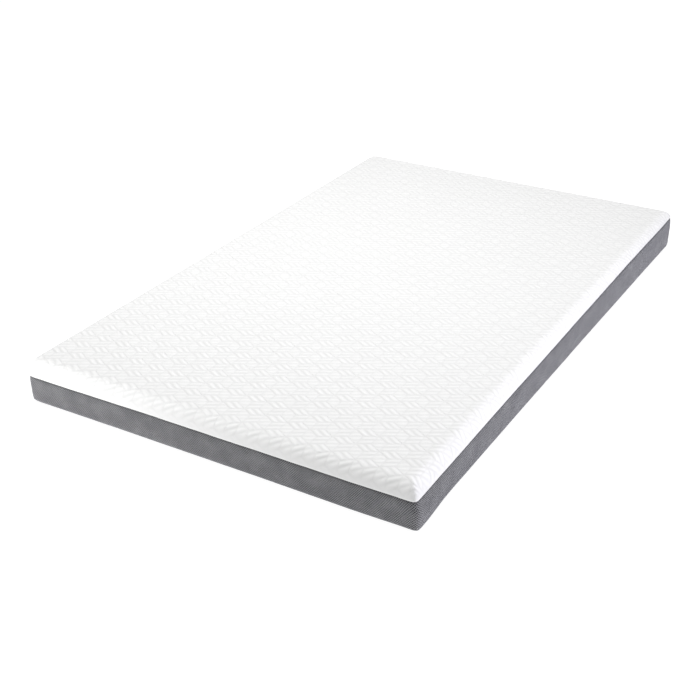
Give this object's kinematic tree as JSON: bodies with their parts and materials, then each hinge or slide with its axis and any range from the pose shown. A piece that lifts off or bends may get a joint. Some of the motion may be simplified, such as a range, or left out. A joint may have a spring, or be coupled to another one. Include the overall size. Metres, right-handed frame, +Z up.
{
  "type": "pressure relief mattress",
  "caption": "Foam pressure relief mattress in a white knit and grey mesh cover, with rounded top edges, a layered foam core and a zip across one end.",
  "frame": {"origin": "on the surface that the mattress lies on, under the middle of its footprint", "axes": "+Z up, +Y along the mattress towards the end with the zip, +X across it to the right"},
  "size_m": [1.2, 1.9024, 0.13],
  "materials": {
    "knit": "matte",
    "wadding": "matte",
    "spacer_mesh": "matte",
    "lining": "matte",
    "non_slip_cloth": "matte",
    "webbing": "matte",
    "stockinette": "matte",
    "comfort_foam": "matte",
    "airflow_foam": "matte",
    "support_foam": "matte",
    "zip_nylon": "satin",
    "zip_metal": "satin",
    "label_cloth": "satin"
  },
  "bodies": {
    "mattress": {"top_panel": "knit", "top_wadding": "wadding", "border_band": "spacer_mesh", "border_lining": "lining", "border_upper_strip": "spacer_mesh", "border_lower_strip": "spacer_mesh", "base_panel": "non_slip_cloth", "top_seam_tape": "webbing", "base_seam_tape": "webbing", "inner_sleeve": "stockinette", "comfort_layer": "comfort_foam", "airflow_layer": "airflow_foam", "support_layer": "support_foam", "zip_tape_upper": "webbing", "zip_tape_lower": "webbing", "zip_coil_upper": "zip_nylon", "zip_coil_lower": "zip_nylon", "zip_bottom_stop": "zip_metal", "zip_top_stop_upper": "zip_metal", "zip_top_stop_lower": "zip_metal", "zip_end_patch_left": "webbing", "zip_end_patch_right": "webbing", "care_label": "label_cloth"},
    "slider": {"zip_slider": "zip_metal"},
    "pull_tab": {"zip_pull_tab": "zip_metal"}
  },
  "joints": [
    {"name": "zip_travel", "type": "slide", "parent": "mattress", "child": "slider", "axis": [-1, 0, 0], "range_m": [0, 1.025]},
    {"name": "tab_hinge", "type": "hinge", "parent": "slider", "child": "pull_tab", "pos_m": [0.5126, 0.95, 0.034], "axis": [0, 0, -1], "range_deg": [0, 180]}
  ]
}
